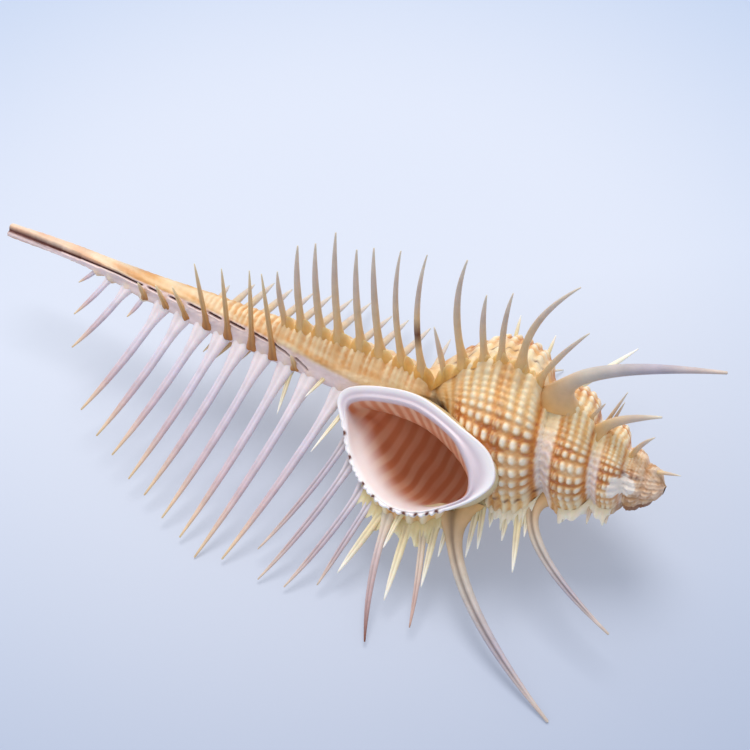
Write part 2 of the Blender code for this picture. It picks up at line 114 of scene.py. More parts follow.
EARLY_ROWS = ((87.0, ((12.6, 2.9, 16.0, 1.5, 2.3), (14.5, 12.2, 14.3, 0.6, 0.0),
                      (6.6, 3.4, 10.8, 0.8, 0.6), (3.0, -1.9, 4.2, 0.6, 0.3))),
              (75.0, ((13.0, 9.8, 15.4, 0.55, 0.0), (11.8, 9.9, 13.3, 0.5, 0.0))),
              (205.0, ((14.3, 13.5, 11.6, 0.8, 0.0), (10.5, 9.7, 10.4, 0.8, 0.0),
                       (7.6, 6.8, 9.2, 0.7, 0.0))),
              (327.0, ((19.0, 17.8, 16.5, 0.7, 0.0), (16.5, 12.6, 18.0, 0.8, 0.0),
                       (9.5, 7.5, 11.5, 0.7, 0.0))))
LOOSE_SPINES = ((206.0, 205.4, 40.9, 35.8, 42.3, 1.15, 1.0),
                (332.0, 345.0, 26.0, 17.4, 33.7, 1.2, 0.0),
                (202.0, 202.0, 38.7, 39.0, 27.1, 0.8, 0.0),
                (192.0, 192.0, 54.2, 56.7, 17.6, 0.7, 0.0),
                (190.0, 190.0, 60.9, 62.4, 8.9, 0.6, 0.0),
                (207.0, 210.0, 67.8, 67.0, 12.7, 0.7, 0.0),
                (40.0, 40.0, 32.3, 32.8, 18.1, 0.55, 0.0),
                (40.0, 40.0, 26.2, 26.0, 17.0, 0.55, 0.0))
LAST_SECONDS = ((98.8, 99.1, 128.0, 5.0), (94.1, 95.6, 120.0, 5.2), (89.6, 92.4, 112.0, 5.6),
                (85.2, 87.2, 97.0, 13.2), (80.8, 81.5, 97.0, 14.9), (75.9, 75.6, 97.0, 17.6),
                (71.4, 73.2, 97.0, 18.0), (67.0, 67.1, 150.0, 5.6))
DORSAL_SECONDS = ((82.0, 85.3, 225.0, 7.5), (79.0, 83.0, 225.0, 8.2), (75.5, 79.0, 225.0, 7.9))
SECOND_OFFSET = 8.0
SECOND_GIRTH = 0.6
ROOT_DEPTH = 1.0
TAPER = ((0.0, 1.0), (0.14, 0.7), (0.5, 0.54), (0.8, 0.35), (1.0, 0.12))

# Where the shell's own frame sits in the part's frame
SHELL_OFFSET = (62.333, 2.590, 20.074)

# Camera of the photograph, fitted to the tips of the spines: place in metres, turn in degrees
CAMERA_PLACE = (0.10102, -0.17026, 0.25203)
CAMERA_TURN = (40.091, 0.342, 27.646)
CAMERA_LENS = 85.0
SENSOR = 36.0


def smooth_curve(points, where):
    """Value at `where` on a smooth curve through points given in rising order."""
    xs, ys = np.array(points, dtype=float).T
    slopes = np.gradient(ys, xs)
    x = np.clip(where, xs[0], xs[-1])
    i = np.clip(np.searchsorted(xs, x) - 1, 0, len(xs) - 2)
    span = xs[i + 1] - xs[i]
    t = (x - xs[i]) / span
    start = (1 + 2 * t) * (1 - t) ** 2 * ys[i] + t * (1 - t) ** 2 * span * slopes[i]
    end = t * t * (3 - 2 * t) * ys[i + 1] + t * t * (t - 1) * span * slopes[i + 1]
    return start + end


def catmull(before, first, second, after, t):
    return 0.5 * (2 * first + (second - before) * t
                  + (2 * before - 5 * first + 4 * second - after) * t ** 2
                  + (3 * first - before - 3 * second + after) * t ** 3)


def closed_curve(points, places):
    """Points on a smooth closed curve through `points`, at fractional indices `places`."""
    corners = np.array(points, dtype=float)
    number = len(corners)
    i = np.floor(places).astype(int)
    t = (places - i)[:, None]
    return catmull(*(corners[(i + shift) % number] for shift in (-1, 0, 1, 2)), t)


def place(station, azimuth, reach):
    """Point with the apex end of the shell's axis along +X, azimuth 0 along +Y and 90 along +Z."""
    angle = np.radians(azimuth)
    return np.stack(np.broadcast_arrays(-np.asarray(station, dtype=float),
                                        reach * np.cos(angle), reach * np.sin(angle)), -1)


def ramp(value, low, high):
    """0 below `low`, 1 above `high`, smooth between."""
    t = np.clip((value - low) / (high - low), 0.0, 1.0)
    return t * t * (3 - 2 * t)


def bump(value, centre, width):
    return np.exp(-((value - centre) / width) ** 2)


def wobble(points, length, seed):
    """Smooth noise from -1 to 1 over points, with features about `length` across."""
    random = np.random.default_rng(seed)
    total = np.zeros(points.shape[:-1])
    for _ in range(7):
        direction = random.normal(size=3)
        direction *= random.uniform(0.6, 1.5) / np.linalg.norm(direction)
        total += np.sin(points @ direction * (2 * math.pi / length) + random.uniform(0, 7))
    return total / 3.5


def whorl_size(back):
    """Station of the suture, reach and length of the whorl, `back` turns before the lip."""
    return [smooth_curve([(row[0], row[column]) for row in WHORL_COURSE], back)
            for column in (1, 2, 3)]


def shell_surface(station, azimuth):
    """Reach of the outer surface without spines, rim and relief, and what the surface is there:
    turns back from the lip, below zero on the canal, and place across the whorl."""
    station, azimuth = np.broadcast_arrays(np.asarray(station, float), np.asarray(azimuth, float))
    growth = (azimuth - LIP_AZIMUTH + LIP_PAST_VARIX) % 360.0 - LIP_PAST_VARIX
    off_varix = (growth + VARIX_STEP / 2) % VARIX_STEP - VARIX_STEP / 2
    comb_end = np.choose(np.rint(growth / VARIX_STEP).astype(int) % 3, COMB_ENDS)
    comb = np.clip((comb_end - station) / COMB_RIDGE_FADE, 0.0, 1.0)
    radius = smooth_curve(CANAL_OUTLINE, station)
    radius = radius + COMB_RIDGE * comb * np.exp(-(off_varix / COMB_RIDGE_WIDTH) ** 2)
    ridge = 1 + VARIX_RISE * np.exp(-(off_varix / VARIX_WIDTH) ** 2)
    turns = np.full(station.shape, -1.0)
    across = np.full(station.shape, 1.5)
    for turn in range(WHORLS):
        back = turn + growth / 360.0
        suture, reach, length = whorl_size(back)
        place_across = (station - suture) / length
        whorl = reach * smooth_curve(WHORL_OUTLINE, place_across) * ridge
        outer = whorl > radius
        radius = np.where(outer, whorl, radius)
        turns = np.where(outer, back, turns)
        across = np.where(outer, place_across, across)
    radius = radius + smooth_curve(LEAN, station) * np.cos(np.radians(azimuth - LEAN_AZIMUTH))
    return radius, turns, across


def shell_radius(station, azimuth):
    return shell_surface(station, azimuth)[0]


def mouth_points(outline, depth=0.0):
    """Points of an outline of the mouth, `depth` below the plane of its rim."""
    station, across = outline.T
    dip = RIM_DIP * np.maximum(0.0, RIM_DIP_STATION - station) ** 2
    out = RIM_HEIGHT - RIM_FALL_ALONG * station - RIM_FALL_ACROSS * across - dip - depth
    azimuth = MOUTH_FACING + np.degrees(np.arctan2(across, out))
    return place(station, azimuth, np.hypot(across, out))


# Resting place: the shell stands on three spine tips

def rest_matrix():
    comb_foot = max(LAST_COMB, key=lambda spine: spine[2])
    dorsal_foot = max(DORSAL_ROW, key=lambda spine: spine[2])
    feet = [Vector(place(comb_foot[1], LIP_AZIMUTH, comb_foot[2])),
            Vector(place(LAST_SHOULDER[1], LIP_AZIMUTH, LAST_SHOULDER[2])),
            Vector(place(dorsal_foot[1], LIP_AZIMUTH + VARIX_STEP, dorsal_foot[2]))]
    up = (feet[1] - feet[0]).cross(feet[2] - feet[0]).normalized()
    if up.z < 0:
        up = -up
    ahead = Vector((1.0, 0.0, 0.0))
    ahead = (ahead - up * ahead.dot(up)).normalized()
    return Matrix((ahead, up.cross(ahead), up))


REST = np.array(rest_matrix())


def part_frame(points):
    """Points of the shell's frame, in the part's frame and in metres."""
    return (points @ REST.T + np.array(SHELL_OFFSET)) * MM


def linear(*colour):
    """Linear colour from screen values of 0 to 255."""
    values = np.array(colour, float) / 255.0
    return np.where(values <= 0.04045, values / 12.92, ((values + 0.055) / 1.055) ** 2.4)


def mixed(first, second, share):
    share = np.asarray(share)[..., None]
    return first * (1 - share) + second * share


def grid_faces(rows, columns, closed=True):
    """Quads over a grid of points, stored row after row."""
    row, column = np.meshgrid(np.arange(rows - 1), np.arange(columns if closed else columns - 1),
                              indexing="ij")
    row, column = row.ravel(), column.ravel()
    after = (column + 1) % columns
    return np.stack((row * columns + column, row * columns + after,
                     (row + 1) * columns + after, (row + 1) * columns + column), -1)


def make_piece(name, points, faces, material, tint):
    """Smooth mesh piece of the shell, with a colour on each of its points."""
    used = np.unique(faces)
    renumber = np.full(len(points), -1)
    renumber[used] = np.arange(len(used))
    faces = renumber[faces]
    co = part_frame(points[used]).astype(np.float32)
    mesh = bpy.data.meshes.new(name)
    mesh.vertices.add(len(co))
    mesh.vertices.foreach_set("co", co.ravel())
    mesh.loops.add(faces.size)
    mesh.loops.foreach_set("vertex_index", faces.ravel().astype(np.int32))
    mesh.polygons.add(len(faces))
    mesh.polygons.foreach_set("loop_start", np.arange(0, faces.size, 4, dtype=np.int32))
    mesh.update(calc_edges=True)
    mesh.validate()
    colours = np.ones((len(used), 4), np.float32)
    colours[:, :3] = np.clip(tint[used], 0.0, 1.0)
    mesh.attributes.new("tint", "FLOAT_COLOR", "POINT").data.foreach_set("color", colours.ravel())
    mesh.shade_smooth()
    piece = bpy.data.objects.new(name, mesh)
    bpy.context.scene.collection.objects.link(piece)
    piece.data.materials.append(material)
    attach(piece, "root")
    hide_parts("shell")
    return piece


# Materials

def shell_look(name, roughness, noise_scale, noise_share, grain_scale, grain_depth, subsurface):
    material = bpy.data.materials.new(name)
    material.use_nodes = True
    nodes, links = material.node_tree.nodes, material.node_tree.links
    surface = nodes["Principled BSDF"]
    surface.inputs["Subsurface Weight"].default_value = subsurface
    surface.inputs["Subsurface Radius"].default_value = (1.0, 0.6, 0.4)
    surface.inputs["Subsurface Scale"].default_value = 0.0012
    tint = nodes.new("ShaderNodeAttribute")
    tint.attribute_name = "tint"
    where = nodes.new("ShaderNodeTexCoord")
    noise = nodes.new("ShaderNodeTexNoise")
    noise.inputs["Scale"].default_value = noise_scale
    noise.inputs["Detail"].default_value = 4.0
    links.new(where.outputs["Object"], noise.inputs["Vector"])
    shade = nodes.new("ShaderNodeMapRange")
    shade.inputs["From Min"].default_value = 0.3
    shade.inputs["From Max"].default_value = 0.7
    shade.inputs["To Min"].default_value = 1.0 - noise_share
    shade.inputs["To Max"].default_value = 1.0 + noise_share
    links.new(noise.outputs["Fac"], shade.inputs["Value"])
    colour = nodes.new("ShaderNodeVectorMath")
    colour.operation = "SCALE"
    links.new(tint.outputs["Color"], colour.inputs[0])
    links.new(shade.outputs["Result"], colour.inputs["Scale"])
    links.new(colour.outputs["Vector"], surface.inputs["Base Color"])
    gloss = nodes.new("ShaderNodeMapRange")
    gloss.inputs["To Min"].default_value = roughness - 0.1
    gloss.inputs["To Max"].default_value = roughness + 0.1
    links.new(noise.outputs["Fac"], gloss.inputs["Value"])
    links.new(gloss.outputs["Result"], surface.inputs["Roughness"])
    grain = nodes.new("ShaderNodeTexNoise")
    grain.inputs["Scale"].default_value = grain_scale
    grain.inputs["Detail"].default_value = 3.0
    links.new(where.outputs["Object"], grain.inputs["Vector"])
    relief = nodes.new("ShaderNodeBump")
    relief.inputs["Strength"].default_value = 0.5
    relief.inputs["Distance"].default_value = grain_depth
    links.new(grain.outputs["Fac"], relief.inputs["Height"])
    links.new(relief.outputs["Normal"], surface.inputs["Normal"])
    return material


# Whorls

CREAM = linear(236, 218, 184)
KNOB = linear(240, 228, 208)
TAN = linear(226, 200, 158)
ORANGE = linear(206, 138, 62)
DEEP_ORANGE = linear(178, 98, 30)
GOLD = linear(230, 182, 108)
PALE = linear(232, 226, 224)
BROWN = linear(120, 66, 36)
# Painted shade for the grooves of the spines
GROOVE_SHADE = linear(70, 34, 24)
SPOT = linear(96, 44, 24)
PINK = linear(234, 214, 216)
CANAL_GOLD = linear(224, 180, 124)
WORN = linear(238, 230, 222)
BUTTER = linear(228, 210, 164)
LIGHT_GOLD = linear(242, 226, 188)
# Painted shade for the slit of the canal
SLIT_SHADE = linear(104, 52, 42)
LILAC = linear(232, 222, 228)
SANDY = linear(218, 170, 120)

# Growth from one varix to the ribs before the next, in degrees
RIBS = (0, 5, 10, 14, 18.5, 23, 29, 35.5, 44.5, 57, 68, 79, 89, 100, 110, 120)
CORD_START = 0.14
CORD_SPACING = 0.115
EARLY_CORD_SPACING = 0.135
# Growth past a varix over which its older side fades, and before the next its younger side
OLDER_SIDE = (16.0, 42.0)
YOUNGER_SIDE = (88.0, 104.0)
# Place across a whorl where its lower part begins, with stripes in place of knobs
LOWER_PART = (1.02, 1.2)
# Band over each suture, as a share of the next whorl's length, and its swellings in degrees
BAND_EDGE = (0.1, 0.17)
BAND_START = 7.5
SWELL_PITCH = 10.5
# Stations: the two broad whorls, the worn apex, the fringe of the left comb and the slit
BROAD_WHORLS = 22.0
WORN_END = (3.0, 9.0)
FRINGE_END = (78.0, 92.0)
FLUTE_PITCH = 1.2
SLIT_START = 60.0
FAR = 99.0
# Heights of the relief on a whorl of full size
KNOB_HEIGHT = 0.45
CORD_HEIGHT = 0.14
RIB_HEIGHT = 0.1
MEAN_HEIGHT = 0.25
GROOVE_DEPTH = 0.4
SLIT_CUT = 0.8
# Tones of the cords, drawn once, with the ones that are brown or pale all round
CORD_TONES = 64
BROWN_CORDS = (19, 23, 28)
PALE_CORDS = (21, 25, 26)
# Brown dots on the whorls: station, azimuth and radius
DOTS = ((39.4, 68.0, 0.5), (37.2, 68.0, 0.5), (33.6, 68.0, 0.5), (31.2, 68.0, 0.5),
        (29.8, 68.0, 0.5), (26.1, 68.0, 0.5), (24.4, 68.0, 0.5), (19.2, 192.0, 0.45),
        (21.2, 192.0, 0.45), (22.9, 193.0, 0.45), (24.8, 192.0, 0.45), (27.2, 193.0, 0.45),
        (4.4, 129.0, 0.35), (5.2, 131.0, 0.35), (6.7, 129.0, 0.4))
# The slit in overlapping dashes: station and azimuth of both ends, and half the width
SLIT_DASHES = ((64.4, 183.0, 66.9, 166.0, 0.16), (68.3, 166.0, 71.2, 151.0, 0.16),
               (73.0, 150.0, 75.7, 144.5, 0.16), (77.9, 145.0, 80.7, 140.0, 0.16),
               (82.8, 142.0, 85.1, 137.0, 0.16), (87.1, 139.0, 89.4, 135.5, 0.16),
               (91.5, 140.7, 93.5, 137.0, 0.16), (95.7, 140.0, 98.2, 134.5, 0.16),
               (99.8, 135.5, 101.4, 133.5, 0.16), (101.4, 133.5, 105.0, 123.0, 0.16),
               (105.0, 123.0, 109.0, 119.0, 0.16), (109.0, 119.0, 113.4, 114.7, 0.2),
               (113.4, 114.7, 117.8, 112.9, 0.3), (117.8, 112.9, 121.2, 111.2, 0.45),
               (121.2, 111.2, 124.5, 110.0, 0.55), (124.5, 110.0, 131.0, 109.0, 0.6))


def slit_distance(station, azimuth, radius):
    """Distance from the nearest dash of the slit, in half widths of that dash."""
    nearest = np.full(station.shape, FAR)
    for first, first_azimuth, last, last_azimuth, width in SLIT_DASHES:
        along = last - first
        aside = np.radians(last_azimuth - first_azimuth) * radius
        off = np.radians((azimuth - first_azimuth + 180.0) % 360.0 - 180.0) * radius
        step = ((station - first) * along + off * aside) / (along ** 2 + aside ** 2)
        step = np.clip(step, 0.0, 1.0)
        away = np.hypot(station - first - step * along, off - step * aside)
        nearest = np.minimum(nearest, away / width)
    return nearest


def varix_folds(station, azimuth, radius):
    """Low folds that run from the bases of the spines over the whorl, from 0 to 1."""
    folds = np.zeros(station.shape)
    for base_azimuth, rows, length in ((LIP_AZIMUTH + 2 * VARIX_STEP, (LEFT_COMB, LEFT_ROW), 3.8),
                                       (LIP_AZIMUTH + VARIX_STEP, (DORSAL_COMB, DORSAL_ROW), 2.5),
                                       (LIP_AZIMUTH, (LAST_COMB,), 1.5)):
        off = (azimuth - base_azimuth + 180.0) % 360.0 - 180.0
        for row in rows:
            for spine in row:
                fold = bump(station, spine[0], 0.75) * bump(np.radians(off) * radius, 0.0, length)
                folds = np.maximum(folds, fold)
    return folds


def lattice(turns, across):
    """Cords and ribs of a whorl as heights from 0 to 1, and the number of the cord."""
    growth = turns * 360.0
    after_varix = growth % VARIX_STEP
    early = turns > 1.3
    spread = np.where(early, 1.1, 1.0)
    rib_phase = np.interp(after_varix / spread, RIBS, np.arange(len(RIBS)))
    rib = 0.5 + 0.5 * np.cos(2 * math.pi * (rib_phase - 0.5))
    spacing = np.where(early, EARLY_CORD_SPACING, CORD_SPACING)
    sway = 0.1 * np.sin(growth / 23.0) + 0.06 * np.sin(growth / 7.0)
    cord_phase = (across - CORD_START) / spacing + sway
    cord = 0.5 + 0.5 * np.cos(2 * math.pi * cord_phase)
    return cord, rib, cord_phase, after_varix


def surface_fields(station, azimuth):
    """What the outer surface is at each place, for its relief and its colour."""
    radius, turns, across = shell_surface(station, azimuth)
    at = SimpleNamespace(station=station, azimuth=azimuth, radius=radius, turns=turns,
                         across=across, points=place(station, azimuth, radius))
    at.on_whorl = turns >= -0.5
    at.cord, at.rib, at.cord_phase, at.after_varix = lattice(turns, across)
    at.cell = np.sqrt(at.cord * at.rib)
    at.near_varix = np.maximum(1 - ramp(at.after_varix, *OLDER_SIDE),
                               ramp(at.after_varix, *YOUNGER_SIDE))
    at.lower = ramp(across, *LOWER_PART)
    next_suture, _, next_length = whorl_size(np.maximum(turns - 1.0, 0.0))
    above_suture = (next_suture - station) / next_length
    at.band = (1 - ramp(above_suture, *BAND_EDGE)) * (turns > 1.0) * (station > BAND_START)
    at.swell = 0.5 + 0.5 * np.cos(turns * 360.0 / SWELL_PITCH * 2 * math.pi)
    at.groove = bump(across, 0.085, 0.025) * ramp(at.after_varix, 1.0, 8.0)
    at.folds = varix_folds(station, azimuth, radius) * (station > BROAD_WHORLS)
    left_side = bump((azimuth - 87.0 + 180.0) % 360.0 - 180.0, 0.0, 45.0) * (station > 40.0)
    at.fringe = left_side * (1 - ramp(station, *FRINGE_END)) * ~at.on_whorl
    at.flute = 0.5 + 0.5 * np.cos(2 * math.pi * (station + 0.3 * np.sin(station * 0.8))
                                  / FLUTE_PITCH)
    at.worn = 1 - ramp(station, *WORN_END)
    at.rough = wobble(at.points, 2.1, 5) * 0.5 + wobble(at.points, 0.8, 6) * 0.35
    at.cloud = 0.5 + 0.5 * wobble(at.points, 5.0, 11)
    at.fine = 0.5 + 0.5 * wobble(at.points, 0.8, 12)
    at.slit = np.where(station > SLIT_START,
                       slit_distance(station, azimuth, np.maximum(radius, 1.0)), FAR)
    return at


def relief_height(at):
    """Height of cords, ribs, knobs, folds and slit over the plain surface."""
    size = np.clip(at.radius / 14.0, 0.15, 1.2)
    sharp_cord = ramp(at.cord, 0.2, 0.8)
    sharp_rib = ramp(at.rib, 0.15, 0.75)
    knob = ramp(at.cell, 0.15, 0.9) * (1 - 0.6 * at.near_varix) + 0.4 * sharp_cord * at.near_varix
    knob = knob * (1 - at.lower)
    height = KNOB_HEIGHT * knob + CORD_HEIGHT * sharp_cord + RIB_HEIGHT * sharp_rib
    height = (height - MEAN_HEIGHT) * size
    height = height * (0.25 + 0.75 * ramp(at.across, 0.06, 0.12))
    height = height - GROOVE_DEPTH * at.groove * size
    fold_share = 1 - 0.75 * ramp(at.after_varix, 4.0, 70.0)
    suture_fold = bump(at.across, 0.015, 0.04) * fold_share * at.on_whorl
    height = height + (1.3 + 1.5 * bump(at.after_varix, 0.0, 16.0)) * suture_fold * size
    height = height * (1 - 0.9 * at.band) + at.band * size * (0.25 * at.swell - 0.1)
    height = height * (1 - 0.6 * at.folds) + 0.75 * at.folds

    thread = 0.5 + 0.5 * np.sin(np.radians(at.azimuth) * 9 + at.station * 0.16)
    canal_height = 0.12 * (thread - 0.5) + 0.6 * at.folds + 0.4 * at.fringe * (at.flute - 0.4)
    height = np.where(at.on_whorl, height, canal_height)
    height = height * (1 - 0.7 * at.worn) + at.worn * 0.45 * at.rough
    height = height + 0.045 * wobble(at.points, 1.1, 7) + 0.025 * wobble(at.points, 0.45, 8)
    cut = np.minimum(SLIT_CUT * bump(at.slit, 0.0, 1.1), at.radius * 0.6)
    return height - cut + 0.1 * bump(at.slit, 2.4, 0.9)


def whorl_colour(at):
    """Pale knobs on an orange-brown lattice, paler and more golden beside a varix."""
    random = np.random.default_rng(3)
    cord_tone = random.uniform(0.2, 0.75, CORD_TONES)
    cord_tone[list(BROWN_CORDS)] = 1.0
    cord_tone[list(PALE_CORDS)] = 0.1
    tone = np.interp(at.cord_phase + 20.0, np.arange(CORD_TONES), cord_tone)
    growth = at.turns * 360.0
    rib_tone = 0.5 + 0.5 * np.sin(growth / 5.3) * np.sin(growth / 17.0)
    warm = 0.2 + 0.4 * tone + 0.35 * rib_tone + 0.4 * (at.cloud - 0.5) + 0.35 * (at.fine - 0.5)
    warm = np.clip(warm - 0.35 * at.near_varix, 0, 1)
    line_colour = mixed(ORANGE, DEEP_ORANGE, ramp(warm, 0.35, 0.85))
    lines = 1 - ramp(at.cell, 0.15, 0.72)
    lines = np.maximum(lines, 0.9 * ramp(tone, 0.85, 1.0) * ramp(at.cord, 0.2, 0.6))
    ground = mixed(mixed(CREAM, GOLD, warm), line_colour, np.clip(lines * (0.35 + warm), 0, 1))
    whiteness = ramp(at.cell, 0.5, 1.0) * (1.25 - 1.1 * ramp(tone, 0.8, 1.0))
    colour = mixed(ground, KNOB, np.clip(whiteness + 0.3 * (at.fine - 0.5), 0, 1))
    stripes = at.cord * 1.2 - 0.1 - 0.6 * ramp(tone, 0.6, 1.0) + 0.5 * (at.cloud - 0.5)
    between = mixed(GOLD, ORANGE, np.clip(0.2 + 0.7 * ramp(tone, 0.5, 1.0) + at.fine - 0.5, 0, 1))
    pale = mixed(between, LIGHT_GOLD, np.clip(stripes, 0, 1))
    colour = mixed(colour, pale, 0.8 * at.near_varix)
    colour = mixed(colour, mixed(ORANGE, DEEP_ORANGE, at.fine), 0.95 * at.groove * at.on_whorl)
    ledge = 1 - ramp(at.across, 0.03, 0.065)
    ledge_colour = mixed(BUTTER, PALE, ramp(at.after_varix, 8.0, 45.0))
    colour = mixed(colour, mixed(ledge_colour, TAN, 0.3 * at.fine), 0.9 * ledge * at.on_whorl)
    tail = mixed(mixed(GOLD, ORANGE, 0.5 * (1 - at.cord)), CREAM, 0.5 * at.cord)
    colour = mixed(colour, tail, 0.85 * at.lower * at.on_whorl)
    band_colour = mixed(LIGHT_GOLD, LILAC, ramp(at.azimuth % 360.0, 100.0, 140.0))
    band_colour = mixed(band_colour, TAN, 0.3 * (1 - at.swell) + 0.3 * at.fine)
    colour = mixed(colour, band_colour, 0.85 * at.band)
    left_varix = bump(at.azimuth % 360.0, 70.0, 15.0) * (at.station > BROAD_WHORLS) * at.on_whorl
    return mixed(colour, mixed(CREAM, GOLD, at.cloud), 0.75 * left_varix)


def canal_colour(at):
    """Cream and gold in long streaks, pink along the slit."""
    streak = 0.5 + 0.5 * wobble(at.points * np.array((0.35, 1.0, 1.0)), 2.2, 21)
    colour = mixed(CREAM, CANAL_GOLD, np.clip(streak * 1.5 - 0.1, 0, 1))
    colour = mixed(colour, ORANGE, 0.2 + 0.45 * ramp(streak, 0.5, 1.0))
    slit_azimuth = np.interp(at.station, *np.array(SLIT_LINE).T[:2])
    off_slit = (at.azimuth - slit_azimuth + 180.0) % 360.0 - 180.0
    pink_side = ramp(off_slit, -16.0, -4.0) * (1 - ramp(off_slit, 58.0, 82.0))
    colour = mixed(colour, PINK, 0.9 * pink_side)
    return mixed(colour, PINK, 0.35 * ramp(at.station, 95.0, 120.0))


def worn_colour(at, colour):
    """Colour with the rubbed apex, brown in the hollows of its rubbing, its chalky scar and brown
    over the apex's lower side laid over it.
    """
    blotch = 0.5 + 0.5 * wobble(at.points, 3.4, 16)
    wear = mixed(BROWN, WORN, np.clip(0.55 + at.rough * 0.9 + (blotch - 0.5) * 0.9, 0, 1))
    colour = mixed(colour, mixed(wear, SANDY, 0.55), at.worn * 0.85)
    scar = bump(at.station, 6.4, 2.9) * bump(at.azimuth % 360.0, 150.0, 26.0)
    crust = ramp(scar * (0.45 + 0.9 * blotch + 0.25 * at.rough), 0.5, 0.62)
    colour = mixed(colour, WORN, 0.95 * crust)
    # Brown over the worn apex from azimuth 165 to 245, on its lower side
    under = ramp(at.azimuth, 165.0, 180.0) * (1 - ramp(at.azimuth, 225.0, 245.0)) * at.worn
    return mixed(colour, BROWN, 0.75 * under)


def relief(station, azimuth):
    """Reach of the surface with its cords, ribs and slit, and its colour."""
    at = surface_fields(station, azimuth)
    colour = np.where(at.on_whorl[..., None], whorl_colour(at), canal_colour(at))
    # The fringe's own orange and gold set along its flutes: cream on the ridges is painted
    # highlight, orange in the grooves painted shade
    fringe_colour_and_light = mixed(ORANGE, LIGHT_GOLD, np.clip(at.flute * 0.9 + 0.4 * (at.fine - 0.5), 0, 1))
    colour = mixed(colour, fringe_colour_and_light, 0.85 * at.fringe * (1 - at.folds))
    colour = mixed(colour, mixed(LIGHT_GOLD, CANAL_GOLD, at.cloud), 0.75 * at.folds)
    colour = worn_colour(at, colour)
    dots = np.zeros(station.shape)
    for dot, dot_azimuth, wide in DOTS:
        away = np.hypot(station - dot, np.radians(azimuth % 360.0 - dot_azimuth) * at.radius)
        dots = np.maximum(dots, bump(away, 0.0, wide))
    colour = mixed(colour, SPOT, 0.85 * dots)
    # Painted shade along the slit of the canal, darkest in its cut
    colour = mixed(colour, SLIT_SHADE, np.clip(1.3 * bump(at.slit, 0.0, 1.0), 0, 0.95))
    return at.radius + relief_height(at), colour


def covered(points):
    """Points that lie behind the opening of the mouth."""
    angle = math.radians(MOUTH_FACING)
    out = points[:, 1] * math.cos(angle) + points[:, 2] * math.sin(angle)
    across = -points[:, 1] * math.sin(angle) + points[:, 2] * math.cos(angle)
    outline = closed_curve(MOUTH_INNER, np.linspace(0, len(MOUTH_INNER), 200, endpoint=False))
    centre = outline.mean(axis=0)
    outline = centre + (outline - centre) * 1.04
    x, y = -points[:, 0], across
    inside = np.zeros(len(points), bool)
    for (x0, y0), (x1, y1) in zip(outline, np.roll(outline, -1, axis=0)):
        crossing = (y0 > y) != (y1 > y)
        inside ^= crossing & (x < (x1 - x0) * (y - y0) / (y1 - y0 + 1e-12) + x0)
    return inside & (out > 0)


def make_joined(name, grids, material, closed=True):
    """One piece from grids of points with their colours, open where the mouth is."""
    starts = np.cumsum([0] + [points.shape[0] * points.shape[1] for points, _ in grids])
    faces = np.concatenate([grid_faces(*points.shape[:2], closed) + start
                            for (points, _), start in zip(grids, starts)])
    points = np.concatenate([points.reshape(-1, 3) for points, _ in grids])
    colours = np.concatenate([colour.reshape(-1, 3) for _, colour in grids])
    faces = faces[~covered(points[faces].mean(axis=1))]
    return make_piece(name, points, faces, material, colours)


def skin(name, stations, azimuths, material, drop=0.0):
    """Piece of the outer surface over a grid of stations and azimuths, lowered by `drop`."""
    reach, colour = relief(stations, azimuths)
    return make_joined(name, [(place(stations, azimuths, reach - drop), colour)], material)


def build_skin():
    whorls = shell_look("whorls", 0.5, 260.0, 0.12, 1500.0, 0.0002, 0.12)
    turn = np.arange(0.0, 360.0, 0.75) + LIP_AZIMUTH - LIP_PAST_VARIX + 0.01
    low = np.linspace(0.15, 24.0, 96)
    high = np.linspace(24.0, 62.0, 128)
    for name, rows in (("spire", low), ("last_whorl", high)):
        stations, azimuths = np.meshgrid(rows, turn, indexing="ij")
        skin(name, stations, azimuths, whorls)
    half = np.concatenate((np.linspace(0.0, 30.0, 26), np.linspace(30.0, 180.0, 32)[1:]))
    offsets = np.concatenate((-half[1:][::-1], half))[1:]
    rows = np.linspace(61.7, SHELL_LENGTH - 0.4, 250)
    stations, azimuths = np.meshgrid(rows, offsets, indexing="ij")
    line = np.array(SLIT_LINE)
    azimuths = azimuths + np.interp(stations, line[:, 0], line[:, 1])
    skin("canal", stations, azimuths, whorls, 0.004)


# Mouth

RIM_SIDES = 360
# Rings of points after each outline of the mouth, from its root under the rim to the deep end
MOUTH_STEPS = (3, 3, 4, 4, 4, 6, 6, 18, 12, 10, 10, 8, 6)
# Dark dots of the lip and spacing of its teeth, counted in corners of the rim
RIM_DOTS = (2.17, 2.53, 2.98, 3.45, 3.99, 4.96, 5.63, 6.84, 7.7)
DENTICLE_STEP = 0.3
STRIPE_PITCH = 2.1
PORCELAIN = linear(248, 243, 245)
CALLUS = linear(214, 198, 208)
WELL = linear(220, 146, 108)
WELL_DEEP = linear(234, 152, 106)
WELL_PALE = linear(255, 218, 188)
BLUSH = linear(232, 208, 202)
RIM_UNDERSIDE = linear(214, 198, 150)


